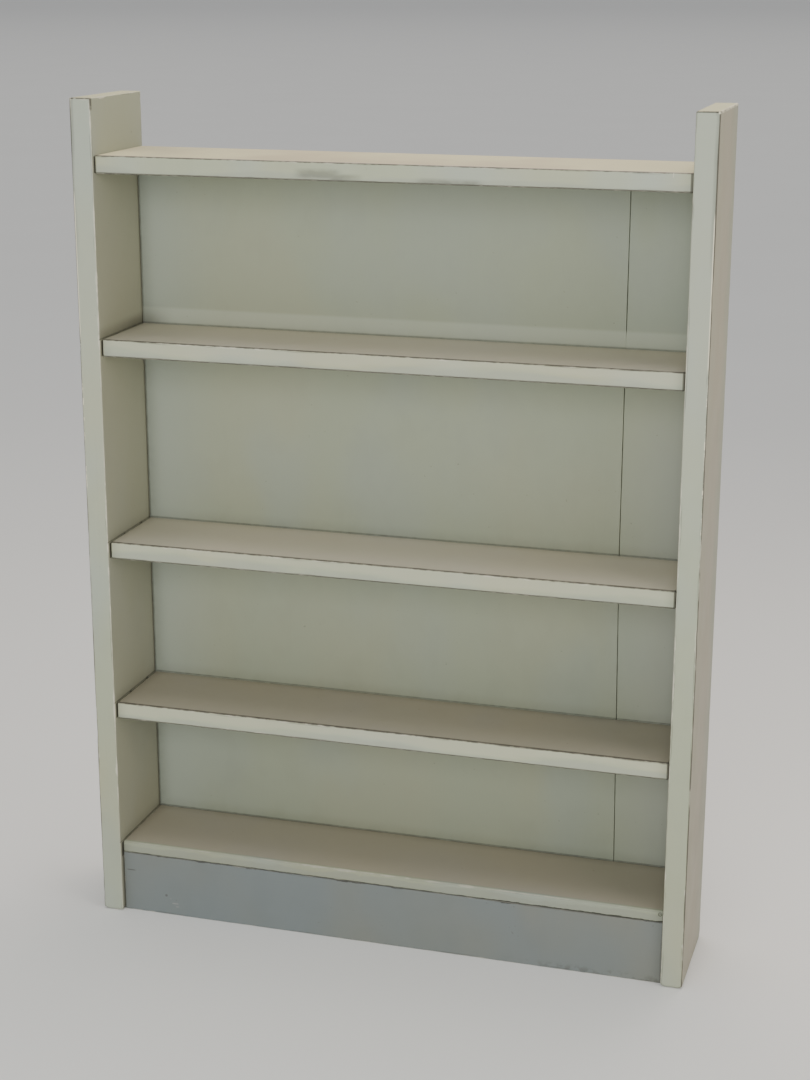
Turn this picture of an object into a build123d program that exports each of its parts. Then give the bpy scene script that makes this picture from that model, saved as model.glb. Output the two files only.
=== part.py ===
from build123d import *
import math
import os

# Bookcase with adjustable shelves, built from planed boards and painted.
# Frame: origin on the floor under the middle of the case, +X to the right,
# the open front faces -Y, +Z up. Millimetres.

# ---- driving dimensions ------------------------------------------------------
case_width = 745.0
case_depth = 144.0
case_height = 1020.0
side_thickness = 26.0
shelf_thickness = 21.0

top_shelf_top = 955.0
bottom_shelf_top = 94.4
hole_pitch = 20.8
middle_shelf_top = 490.8
upper_shelf_top = middle_shelf_top + 12 * hole_pitch
lower_shelf_top = middle_shelf_top - 10 * hole_pitch

shelf_setback = 6.0
plinth_setback = 8.0
fixed_end_gap = 0.3
loose_end_gap = 1.0
loose_back_gap = 1.0
edge_round = 1.2
nose_round = 4.0
arris_round = 1.6
foot_front_round = 4.0
foot_back_round = 10.0

back_thickness = 12.0
back_recess = 4.3
back_rebate_width = 10.0
back_rebate_height = 10.0
back_floor_gap = 8.0
back_fit_gap = 0.5
seam_gap = 0.6
seam_top_x = 258.0
seam_foot_x = 265.0
seam_kink_z = 500.0
cut_over = 1.0

plinth_thickness = 21.0
plinth_rebate = 6.1

pin_diameter = 5.0
pin_hole_diameter = 5.1
pin_hole_depth = 12.0
pin_shank_length = 11.5
peg_diameter = 7.0
peg_length = 10.0
peg_flat_height = 2.8
peg_paint_gap = 0.2
pin_end_chamfer = 0.5
pin_columns_y = {"front": -22.0, "back": 29.0}

dowel_diameter = 8.0
dowel_length = 40.0
dowel_in_side = 18.0
dowel_fit_gap = 0.05
dowel_end_gap = 1.0
dowel_chamfer = 0.8
shelf_dowels_y = (-30.0, 2.0, 36.0)
plinth_dowels_z = (25.0, 58.0)

nail_diameter = 2.0
nail_length = 28.0
nail_head_diameter = 4.5
nail_head_height = 1.0
nail_fit_gap = 0.05
nail_end_gap = 1.0
side_nails_z = (60.0, 200.0, 340.0, 480.0, 620.0, 760.0, 900.0)
wide_nails_x = (-280.0, -110.0, 60.0, 230.0)
narrow_nails_x = (305.0,)

glue_block_size = 22.0
glue_block_length = 60.0
glue_blocks_x = (-220.0, 0.0, 220.0)

# ---- places worked out from them ---------------------------------------------
front_y = -case_depth / 2
rear_y = case_depth / 2
side_inner_x = case_width / 2 - side_thickness
inner_width = 2 * side_inner_x
back_rear_y = rear_y - back_recess
back_front_y = back_rear_y - back_thickness
back_edge_x = side_inner_x + back_rebate_width - back_fit_gap
back_top_z = top_shelf_top - shelf_thickness + back_rebate_height - back_fit_gap
bottom_shelf_underside = bottom_shelf_top - shelf_thickness
plinth_top_z = bottom_shelf_underside + plinth_rebate
plinth_front_y = front_y + plinth_setback
plinth_back_y = plinth_front_y + plinth_thickness
side_nail_x = side_inner_x + back_rebate_width / 2
top_nail_z = top_shelf_top - shelf_thickness + back_rebate_height / 2
bottom_nail_z = bottom_shelf_top - shelf_thickness / 2
peg_offset = peg_flat_height + peg_paint_gap

shelf_tops = {
    "shelf_upper": upper_shelf_top,
    "shelf_middle": middle_shelf_top,
    "shelf_lower": lower_shelf_top,
}
hands = {"left": -1, "right": 1}
os.makedirs("parts", exist_ok=True)


def pin_axis_z(shelf_top):
    """Height of the pins' axes: their flats lie just under the shelf."""
    return shelf_top - shelf_thickness - peg_offset


def span(low, high):
    """Length and middle of a stretch along one axis."""
    return high - low, (low + high) / 2


def facing(hand):
    """Plane on a side's inner face: local x along +Y, normal towards the middle of the case."""
    return Plane(
        origin=(hand * side_inner_x, 0, 0),
        x_dir=(0, 1, 0),
        z_dir=(-hand, 0, 0),
    )


def plane_points(plane, points):
    """World points in the local axes of a plane."""
    return [plane.to_local_coords(Vector(*point)) for point in points]


def face_points(hand, points):
    """(y, z) places on a side's inner face, in the local axes of facing(hand)."""
    return plane_points(facing(hand), [(hand * side_inner_x, y, z) for y, z in points])


def finish(part, label):
    """Name a finished piece and write it to its own file."""
    part.label = label
    export_step(part, f"parts/{label}.step")


# ---- sides ---------------------------------------------------------------------
top_shelf_dowel_rows = [(y, top_shelf_top - shelf_thickness / 2) for y in shelf_dowels_y]
bottom_shelf_dowel_rows = [(y, bottom_shelf_top - shelf_thickness / 2) for y in shelf_dowels_y]
plinth_dowel_y = (plinth_front_y + plinth_back_y) / 2
plinth_dowel_rows = [(plinth_dowel_y, z) for z in plinth_dowels_z]
side_dowels = top_shelf_dowel_rows + bottom_shelf_dowel_rows + plinth_dowel_rows

# Each loose shelf has two holes per column: its own, and one a step above that its end covers.
pin_rows = [
    (y, pin_axis_z(top) + step * hole_pitch)
    for top in shelf_tops.values()
    for step in (0, 1)
    for y in pin_columns_y.values()
]


def make_side(hand):
    """Upright board with a stopped rebate for the back, dowel holes and pin holes."""
    middle_x = hand * (case_width / 2 - side_thickness / 2)
    with BuildPart() as side:
        with BuildSketch(Plane.YZ.offset(middle_x - side_thickness / 2)):
            with Locations((0, case_height / 2)):
                Rectangle(case_depth, case_height)
        extrude(amount=side_thickness)
        foot_front = side.edges().filter_by(Axis.X).group_by(Axis.Z)[0].sort_by(Axis.Y)[0]
        fillet(foot_front, foot_front_round)
        foot_back = side.edges().filter_by(Axis.X).group_by(Axis.Z)[0].sort_by(Axis.Y)[-1]
        fillet(foot_back, foot_back_round)
        front = side.faces().filter_by(Axis.Y).sort_by(Axis.Y)[0]
        fillet(front.edges().filter_by(Axis.Z), arris_round)
        top = side.faces().filter_by(Axis.Z).sort_by(Axis.Z)[-1]
        fillet(top.edges(), edge_round)
        rebate_depth, rebate_y = span(back_front_y, rear_y + cut_over)
        rebate_height, rebate_z = span(-cut_over, back_top_z + back_fit_gap)
        rebate_width, rebate_x = span(side_inner_x - cut_over, side_inner_x + back_rebate_width)
        with Locations((hand * rebate_x, rebate_y, rebate_z)):
            Box(rebate_width, rebate_depth, rebate_height, mode=Mode.SUBTRACT)
        inner = facing(hand)
        with BuildSketch(inner):
            with Locations(*face_points(hand, side_dowels)):
                Circle(dowel_diameter / 2 + dowel_fit_gap)
        extrude(amount=-(dowel_in_side + dowel_end_gap), mode=Mode.SUBTRACT)
        with BuildSketch(inner):
            with Locations(*face_points(hand, pin_rows)):
                Circle(pin_hole_diameter / 2)
        extrude(amount=-pin_hole_depth, mode=Mode.SUBTRACT)
        rebate_floor = Plane.XZ.offset(-back_front_y)
        nail_places = [(hand * side_nail_x, back_front_y, z) for z in side_nails_z]
        with BuildSketch(rebate_floor):
            with Locations(*plane_points(rebate_floor, nail_places)):
                Circle(nail_diameter / 2 + nail_fit_gap)
        extrude(amount=nail_length - back_thickness + nail_end_gap, mode=Mode.SUBTRACT)
    return side.part


for name, hand in hands.items():
    finish(make_side(hand), f"side_{name}")


# ---- fixed shelves and plinth --------------------------------------------------
def end_dowel_holes(end_x, rows):
    """Bore dowel holes into the active part's two ends, at (y, z) rows."""
    for hand in hands.values():
        end = Plane(origin=(hand * end_x, 0, 0), x_dir=(0, 1, 0), z_dir=(hand, 0, 0))
        places = [(hand * end_x, y, z) for y, z in rows]
        with BuildSketch(end) as holes:
            with Locations(*plane_points(end, places)):
                Circle(dowel_diameter / 2 + dowel_fit_gap)
        depth = dowel_length - dowel_in_side + dowel_end_gap
        extrude(holes.sketch, amount=-depth, mode=Mode.SUBTRACT)


def back_nail_holes(nails_x, nail_z, depth):
    """Bore nail holes forward into the active part from the back panels' front plane."""
    plane = Plane.XZ.offset(-back_front_y)
    places = [(x, back_front_y, nail_z) for x in nails_x]
    with BuildSketch(plane) as holes:
        with Locations(*plane_points(plane, places)):
            Circle(nail_diameter / 2 + nail_fit_gap)
    extrude(holes.sketch, amount=depth, mode=Mode.SUBTRACT)


fixed_half_length = side_inner_x - fixed_end_gap
nail_in_wood = nail_length - back_thickness + nail_end_gap
fixed_nails_x = wide_nails_x + narrow_nails_x
shelf_front_y = front_y + shelf_setback

with BuildPart() as top_shelf:
    depth, middle_y = span(shelf_front_y, back_rear_y)
    with Locations((0, middle_y, top_shelf_top - shelf_thickness / 2)):
        Box(2 * fixed_half_length, depth, shelf_thickness)
    fillet(top_shelf.edges().filter_by(Axis.X).group_by(Axis.Y)[0], edge_round)
    rebate_depth, rebate_y = span(back_front_y, back_rear_y + cut_over)
    rebate_height, rebate_z = span(-cut_over, back_rebate_height)
    with Locations((0, rebate_y, top_shelf_top - shelf_thickness + rebate_z)):
        Box(case_width, rebate_depth, rebate_height, mode=Mode.SUBTRACT)
    end_dowel_holes(fixed_half_length, top_shelf_dowel_rows)
    back_nail_holes(fixed_nails_x, top_nail_z, nail_in_wood)
finish(top_shelf.part, "top_shelf")

# The bottom shelf has a fuller nose. The plinth board's top edge tucks into a shallow
# rebate under it.
with BuildPart() as bottom_shelf:
    depth, middle_y = span(plinth_front_y, back_front_y)
    with Locations((0, middle_y, bottom_shelf_top - shelf_thickness / 2)):
        Box(2 * fixed_half_length, depth, shelf_thickness)
    nose = bottom_shelf.edges().filter_by(Axis.X).group_by(Axis.Y)[0]
    fillet(nose.sort_by(Axis.Z)[-1], nose_round)
    rebate_depth, rebate_y = span(plinth_front_y - cut_over, plinth_back_y + fixed_end_gap)
    rebate_height, rebate_z = span(bottom_shelf_underside - cut_over, plinth_top_z + fixed_end_gap)
    with Locations((0, rebate_y, rebate_z)):
        Box(case_width, rebate_depth, rebate_height, mode=Mode.SUBTRACT)
    end_dowel_holes(fixed_half_length, bottom_shelf_dowel_rows)
    back_nail_holes(fixed_nails_x, bottom_nail_z, nail_in_wood)
finish(bottom_shelf.part, "bottom_shelf")

with BuildPart() as plinth_board:
    depth, middle_y = span(plinth_front_y, plinth_back_y)
    with Locations((0, middle_y, plinth_top_z / 2)):
        Box(2 * fixed_half_length, depth, plinth_top_z)
    end_dowel_holes(fixed_half_length, plinth_dowel_rows)
finish(plinth_board.part, "plinth_board")

# Softwood blocks glued in the corner behind the plinth board.
for index, x in enumerate(glue_blocks_x):
    with BuildPart() as glue_block:
        middle_y = plinth_back_y + glue_block_size / 2
        middle_z = bottom_shelf_underside - glue_block_size / 2
        with Locations((x, middle_y, middle_z)):
            Box(glue_block_length, glue_block_size, glue_block_size)
        lower_back = glue_block.edges().filter_by(Axis.X).group_by(Axis.Y)[-1].sort_by(Axis.Z)[0]
        chamfer(lower_back, glue_block_size / 2)
    finish(glue_block.part, "glue_block_" + ("left", "middle", "right")[index])


# ---- back ----------------------------------------------------------------------
# Two sheets meet at a seam right of the middle, cut a little out of square below.
def seam_x(z):
    """Centre of the seam: upright above the kink, leaning out to the foot below it."""
    lean = max(0.0, (seam_kink_z - z) / (seam_kink_z - back_floor_gap))
    return seam_top_x + lean * (seam_foot_x - seam_top_x)


def make_back(outer_x, seam_side, nails_x):
    """One back sheet from a side's rebate to the seam, with its nail holes."""
    seam_edge = [
        (seam_x(z) + seam_side * seam_gap / 2, z)
        for z in (back_floor_gap, seam_kink_z, back_top_z)
    ]
    outline = [(outer_x, back_top_z), (outer_x, back_floor_gap)] + seam_edge
    with BuildPart() as panel:
        front = Plane.XZ.offset(-back_front_y)
        with BuildSketch(front):
            with BuildLine():
                Polyline(*outline, close=True)
            make_face()
        extrude(amount=-back_thickness)
        outer_nail_x = math.copysign(side_nail_x, outer_x)
        places = [(outer_nail_x, z) for z in side_nails_z]
        places += [(x, z) for x in nails_x for z in (top_nail_z, bottom_nail_z)]
        with BuildSketch(front):
            with Locations(*places):
                Circle(nail_diameter / 2 + nail_fit_gap)
        extrude(amount=-back_thickness, mode=Mode.SUBTRACT)
    return panel.part


finish(make_back(-back_edge_x, -1, wide_nails_x), "back_panel_wide")
finish(make_back(back_edge_x, 1, narrow_nails_x), "back_panel_narrow")

# ---- loose shelves -------------------------------------------------------------
loose_length = inner_width - 2 * loose_end_gap
for name, shelf_top in shelf_tops.items():
    with BuildPart() as loose_shelf:
        depth, middle_y = span(shelf_front_y, back_front_y - loose_back_gap)
        with Locations((0, middle_y, shelf_top - shelf_thickness / 2)):
            Box(loose_length, depth, shelf_thickness)
        fillet(loose_shelf.edges().filter_by(Axis.X).group_by(Axis.Y)[0], edge_round)
    finish(loose_shelf.part, name)


# ---- shelf pins ----------------------------------------------------------------
def make_pin(hand, y, z):
    """Turned steel pin: shank in the side, thicker peg with a flat for the shelf."""
    with BuildPart() as pin:
        inner = Plane(origin=(hand * side_inner_x, y, z), x_dir=(0, 1, 0), z_dir=(-hand, 0, 0))
        with BuildSketch(inner):
            Circle(pin_diameter / 2)
        extrude(amount=-pin_shank_length)
        with BuildSketch(inner):
            Circle(peg_diameter / 2)
        extrude(amount=peg_length)
        ends = pin.faces().filter_by(Axis.X).sort_by(Axis.X)
        chamfer([ends[0].edges(), ends[-1].edges()], pin_end_chamfer)
        peg_x = hand * (side_inner_x - peg_length / 2)
        cap_height = peg_diameter / 2
        with Locations((peg_x, y, z + peg_flat_height + cap_height / 2)):
            Box(peg_length + cut_over, peg_diameter, cap_height, mode=Mode.SUBTRACT)
    return pin.part


for shelf_name, shelf_top in shelf_tops.items():
    for column, y in pin_columns_y.items():
        for side_name, hand in hands.items():
            pin = make_pin(hand, y, pin_axis_z(shelf_top))
            finish(pin, f"{shelf_name}_pin_{column}_{side_name}")


# ---- dowels and nails ----------------------------------------------------------
def make_dowels(rows):
    """Fluteless dowels across both ends of a board, at (y, z) rows."""
    outer_x = side_inner_x + dowel_in_side
    with BuildPart() as dowels:
        for hand in hands.values():
            start = Plane(origin=(hand * outer_x, 0, 0), x_dir=(0, 1, 0), z_dir=(-hand, 0, 0))
            places = [(hand * outer_x, y, z) for y, z in rows]
            with BuildSketch(start):
                with Locations(*plane_points(start, places)):
                    Circle(dowel_diameter / 2)
            extrude(amount=dowel_length)
        chamfer(dowels.edges().filter_by(GeomType.CIRCLE), dowel_chamfer)
    return dowels.part


dowel_rows = {
    "top_shelf_dowels": top_shelf_dowel_rows,
    "bottom_shelf_dowels": bottom_shelf_dowel_rows,
    "plinth_board_dowels": plinth_dowel_rows,
}
for name, rows in dowel_rows.items():
    finish(make_dowels(rows), name)

nail_places = [(hand * side_nail_x, z) for hand in hands.values() for z in side_nails_z]
nail_places += [(x, z) for x in fixed_nails_x for z in (top_nail_z, bottom_nail_z)]
with BuildPart() as back_nails:
    head_plane = Plane.XZ.offset(-back_rear_y)
    with BuildSketch(head_plane):
        with Locations(*nail_places):
            Circle(nail_diameter / 2)
    extrude(amount=nail_length)
    with BuildSketch(head_plane):
        with Locations(*nail_places):
            Circle(nail_head_diameter / 2)
    extrude(amount=-nail_head_height)
finish(back_nails.part, "back_nails")
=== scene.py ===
import math

import bmesh
import bpy
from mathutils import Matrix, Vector, noise


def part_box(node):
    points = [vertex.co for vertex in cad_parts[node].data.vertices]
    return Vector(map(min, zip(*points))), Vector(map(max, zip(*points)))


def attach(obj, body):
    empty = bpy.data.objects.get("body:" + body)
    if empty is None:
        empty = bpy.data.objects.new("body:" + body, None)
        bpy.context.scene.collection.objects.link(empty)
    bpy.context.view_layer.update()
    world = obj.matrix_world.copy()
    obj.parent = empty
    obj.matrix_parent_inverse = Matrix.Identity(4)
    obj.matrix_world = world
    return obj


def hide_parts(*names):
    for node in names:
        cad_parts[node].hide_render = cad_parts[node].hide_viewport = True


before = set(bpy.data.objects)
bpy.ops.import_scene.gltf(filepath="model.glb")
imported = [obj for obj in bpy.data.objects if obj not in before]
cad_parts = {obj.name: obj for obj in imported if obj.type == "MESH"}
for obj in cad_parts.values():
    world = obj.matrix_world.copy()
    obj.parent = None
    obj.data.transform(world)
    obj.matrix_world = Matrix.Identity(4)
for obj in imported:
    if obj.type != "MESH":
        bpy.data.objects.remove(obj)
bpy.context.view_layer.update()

MM = 0.001
X, Y, Z = 0, 1, 2

# ---- the design: boxes from the frame, and a few sizes that its boxes don't show ------
LOOSE_SHELVES = ("shelf_upper", "shelf_middle", "shelf_lower")
FIXED_SHELVES = ("top_shelf", "bottom_shelf")
SIDES = {"left": -1, "right": 1}

box_of = {node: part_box(node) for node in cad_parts}
shelf_top = {node: box_of[node][1][Z] for node in LOOSE_SHELVES + FIXED_SHELVES}
inner_x = box_of["side_right"][0][X]
front_y = box_of["shelf_upper"][0][Y]
back_front = box_of["back_panel_wide"][0][Y]
back_low = box_of["back_panel_wide"][0][Z]
back_high = box_of["back_panel_wide"][1][Z]
SEAM_GAP = 0.6 * MM
SEAM_KINK = 500 * MM
HOLE_PITCH = 20.8 * MM
HOLE_RADIUS = 2.55 * MM
HOLE_DEPTH = 12 * MM
REBATE_WIDTH = 10 * MM
REBATE_GAP = 0.5 * MM
PLINTH_GAP = 0.3 * MM
GHOST_BAND = 20 * MM
seam_top = box_of["back_panel_narrow"][0][X] - SEAM_GAP / 2
seam_foot = box_of["back_panel_wide"][1][X] + SEAM_GAP / 2


# ---- camera --------------------------------------------------------------------
def make_camera():
    """Camera at the viewing angle of the picture that the case was measured from."""
    location = Vector((0.656, -2.1995, 1.167))
    heading_deg, tilt_deg, roll_deg = 16.43, -16.11, -0.09
    data = bpy.data.cameras.new("camera")
    data.lens = 66.42
    data.sensor_width = 36
    camera = bpy.data.objects.new("camera", data)
    bpy.context.scene.collection.objects.link(camera)
    camera.location = location
    pitch = math.radians(90 + tilt_deg)
    camera.rotation_euler = (pitch, math.radians(roll_deg), math.radians(heading_deg))
    bpy.context.scene.camera = camera


# ---- node graphs ----------------------------------------------------------------
BLACK = (0.0, 0.0, 0.0)
WHITE = (1.0, 1.0, 1.0)


class Graph:
    """Short calls for the shader nodes that the finishes are made of."""

    def __init__(self, name):
        self.material = bpy.data.materials.new(name)
        self.material.use_nodes = True
        self.tree = self.material.node_tree
        self.shader = self.tree.nodes["Principled BSDF"]
        self.place = self.tree.nodes.new("ShaderNodeTexCoord").outputs["Object"]
        self.split = self.tree.nodes.new("ShaderNodeSeparateXYZ")
        self.tree.links.new(self.place, self.split.inputs[0])

    def put(self, socket, value):
        """Link a socket, or set a plain value."""
        if isinstance(value, bpy.types.NodeSocket):
            self.tree.links.new(value, socket)
        elif isinstance(value, tuple) and len(value) == 3 and socket.type == "RGBA":
            socket.default_value = (*value, 1.0)
        else:
            socket.default_value = value

    def math(self, operation, a, b=0.0):
        """One step of arithmetic on plain values or sockets."""
        node = self.tree.nodes.new("ShaderNodeMath")
        node.operation = operation
        self.put(node.inputs[0], a)
        self.put(node.inputs[1], b)
        return node.outputs[0]

    def ramp(self, value, low, high, out_low=0.0, out_high=1.0):
        """Smooth step of value from low..high to out_low..out_high."""
        node = self.tree.nodes.new("ShaderNodeMapRange")
        node.interpolation_type = "SMOOTHSTEP"
        self.put(node.inputs["Value"], value)
        self.put(node.inputs["From Min"], low)
        self.put(node.inputs["From Max"], high)
        self.put(node.inputs["To Min"], out_low)
        self.put(node.inputs["To Max"], out_high)
        return node.outputs["Result"]

    def stretch(self, factors):
        """Object coordinates scaled per axis."""
        node = self.tree.nodes.new("ShaderNodeVectorMath")
        node.operation = "MULTIPLY"
        self.put(node.inputs[0], self.place)
        node.inputs[1].default_value = factors
        return node.outputs[0]

    def noise(self, factors, detail=3.0, rough=0.5, seed=0.0):
        """Noise with this many cells per metre along each axis."""
        node = self.tree.nodes.new("ShaderNodeTexNoise")
        node.noise_dimensions = "4D"
        self.put(node.inputs["Vector"], self.stretch(factors))
        node.inputs["W"].default_value = seed
        node.inputs["Scale"].default_value = 1.0
        node.inputs["Detail"].default_value = detail
        node.inputs["Roughness"].default_value = rough
        return node.outputs["Fac"]

    def mix(self, factor, a, b, blend="MIX"):
        """Colour a with b over it, as far as factor says."""
        node = self.tree.nodes.new("ShaderNodeMix")
        node.data_type = "RGBA"
        node.blend_type = blend
        self.put(node.inputs["Factor"], factor)
        self.put(node.inputs["A"], a)
        self.put(node.inputs["B"], b)
        return node.outputs["Result"]

    def value(self, attribute):
        """A number that make_board keeps at each point of a mesh."""
        node = self.tree.nodes.new("ShaderNodeAttribute")
        node.attribute_name = attribute
        return node.outputs["Fac"]

    def parts(self, socket):
        """The three components of a vector."""
        node = self.tree.nodes.new("ShaderNodeSeparateXYZ")
        self.tree.links.new(socket, node.inputs[0])
        return node.outputs

    def share(self):
        """Where a point lies in its board's box, 0 to 1 along each axis."""
        node = self.tree.nodes.new("ShaderNodeAttribute")
        node.attribute_name = "share"
        return self.parts(node.outputs["Vector"])

    def facing(self, axis, sign):
        """1 on faces that look along an axis."""
        node = self.tree.nodes.new("ShaderNodeNewGeometry")
        along = self.math("MULTIPLY", self.parts(node.outputs["Normal"])[axis], float(sign))
        return self.ramp(along, 0.55, 0.85)

    def all_of(self, *masks):
        """Product of masks."""
        result = masks[0]
        for mask in masks[1:]:
            result = self.math("MULTIPLY", result, mask)
        return result

    def any_of(self, *masks):
        """Largest of masks."""
        result = masks[0]
        for mask in masks[1:]:
            result = self.math("MAXIMUM", result, mask)
        return result

    def near(self, axis, place, reach, side=0, core=0.0):
        """1 within core of a plane across an axis, 0 past reach; side -1 or 1 keeps one side."""
        offset = self.math("SUBTRACT", self.split.outputs[axis], place)
        away = self.math("ABSOLUTE", offset)
        mask = self.ramp(away, core, reach, 1.0, 0.0)
        if side:
            kept = self.math("MULTIPLY", offset, float(side))
            mask = self.math("MULTIPLY", mask, self.math("GREATER_THAN", kept, -0.2 * MM))
        return mask

    def within(self, axis, low, high, soft):
        """1 between two planes across an axis, with soft ends."""
        rise = self.ramp(self.split.outputs[axis], low - soft, low + soft)
        fall = self.ramp(self.split.outputs[axis], high - soft, high + soft, 1.0, 0.0)
        return self.math("MULTIPLY", rise, fall)

    def past(self, axis, start, full, low=0.0, high=1.0):
        """low before start and high past full along an axis, in either direction."""
        if start < full:
            return self.ramp(self.split.outputs[axis], start, full, low, high)
        return self.ramp(self.split.outputs[axis], full, start, high, low)

    def away_from(self, axis_a, place_a, axis_b, place_b):
        """Distance from a line across two axes, given by its place along each."""
        along_a = self.math("SUBTRACT", self.split.outputs[axis_a], place_a)
        along_b = self.math("SUBTRACT", self.split.outputs[axis_b], place_b)
        squares = self.math("ADD", self.math("POWER", along_a, 2.0), self.math("POWER", along_b, 2.0))
        return self.math("SQRT", squares)

    def bump(self, height, strength, distance, normal=None):
        """Fine relief, on top of another relief if one is given."""
        node = self.tree.nodes.new("ShaderNodeBump")
        self.put(node.inputs["Height"], height)
        node.inputs["Strength"].default_value = strength
        node.inputs["Distance"].default_value = distance
        if normal is not None:
            self.put(node.inputs["Normal"], normal)
        return node.outputs["Normal"]


# ---- finishes -------------------------------------------------------------------
CREAM = (0.425, 0.455, 0.330)
CREAM_WARM = (0.450, 0.455, 0.315)
CREAM_COOL = (0.415, 0.450, 0.375)
BACK_GREEN = (0.320, 0.345, 0.255)
BACK_WARM = (0.330, 0.345, 0.250)
BACK_COOL = (0.312, 0.342, 0.292)
BACK_PATCH = (0.315, 0.343, 0.274)
BACK_GREY = (0.300, 0.312, 0.280)
BAND_PALE = (0.500, 0.520, 0.420)
PLINTH_BLUE = (0.170, 0.187, 0.177)
PLINTH_WARM = (0.186, 0.192, 0.168)
PLINTH_COOL = (0.165, 0.188, 0.190)
HANDLED = (0.370, 0.390, 0.315)
EDGE_CREAM = (0.500, 0.495, 0.365)
# The two dust tones below are a lit and a shaded copy: painted shade on the lower shelves' tops.
DUST_LIT_HIGH = (0.715, 0.625, 0.515)
DUST_SHADED_LOW = (0.370, 0.308, 0.250)
DUST_GREEN = (0.400, 0.385, 0.310)
DUST_YELLOW = (0.590, 0.545, 0.420)
TOP_DUST = (0.590, 0.525, 0.340)
TOP_OLIVE = (0.490, 0.470, 0.335)
TOP_BRIGHT = (0.730, 0.700, 0.450)
FRONT_COOL = (0.400, 0.432, 0.372)
# The two inner tones are olive paint darkened with painted shade of the bays.
INNER_SHADED_OLIVE = (0.345, 0.335, 0.262)
INNER_SHADED_GREEN = (0.330, 0.345, 0.268)
OUTER_BEIGE = (0.450, 0.412, 0.312)
OUTER_PINK = (0.458, 0.408, 0.318)
OUTER_GREY = (0.410, 0.405, 0.318)
# The dark below is dirt, and also painted shade where it is laid in corners and gaps.
GRIME_AND_SHADE = (0.052, 0.047, 0.035)
JOINT_DARK = (0.022, 0.019, 0.014)
WORN = (0.620, 0.600, 0.490)
CHIPPED = (0.760, 0.720, 0.560)
# Painted shade inside the pin holes.
HOLE_SHADE = (0.150, 0.135, 0.095)
SMOKE = (0.100, 0.100, 0.080)
SCRATCH_GREY = (0.360, 0.360, 0.320)
# Patches of the smudges on the top shelf's front edge, in mm: left, right, low and top below its upper
# face, softness. The first two overlap as one smudge.
SMUDGES = ((-98, -50, -18, -8, 9), (-62, -26, -22, -13, 8), (42, 112, -22, -15, 10))
# Pale scratches on the plinth and the one dark one, in mm: left end, height, length.
SCRATCHES = ((-284, 22, 5), (-281, 16, 8), (-276, 12, 4))
DARK_SCRATCH = (-342, 55.5, 11)
GRAIN_ALONG = 3.0
GRAIN_ACROSS = 380.0


def grain_scale(grain):
    """Cells per metre of brush marks that run along one axis."""
    scale = [GRAIN_ACROSS] * 3
    scale[grain] = GRAIN_ALONG
    return tuple(scale)


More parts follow.
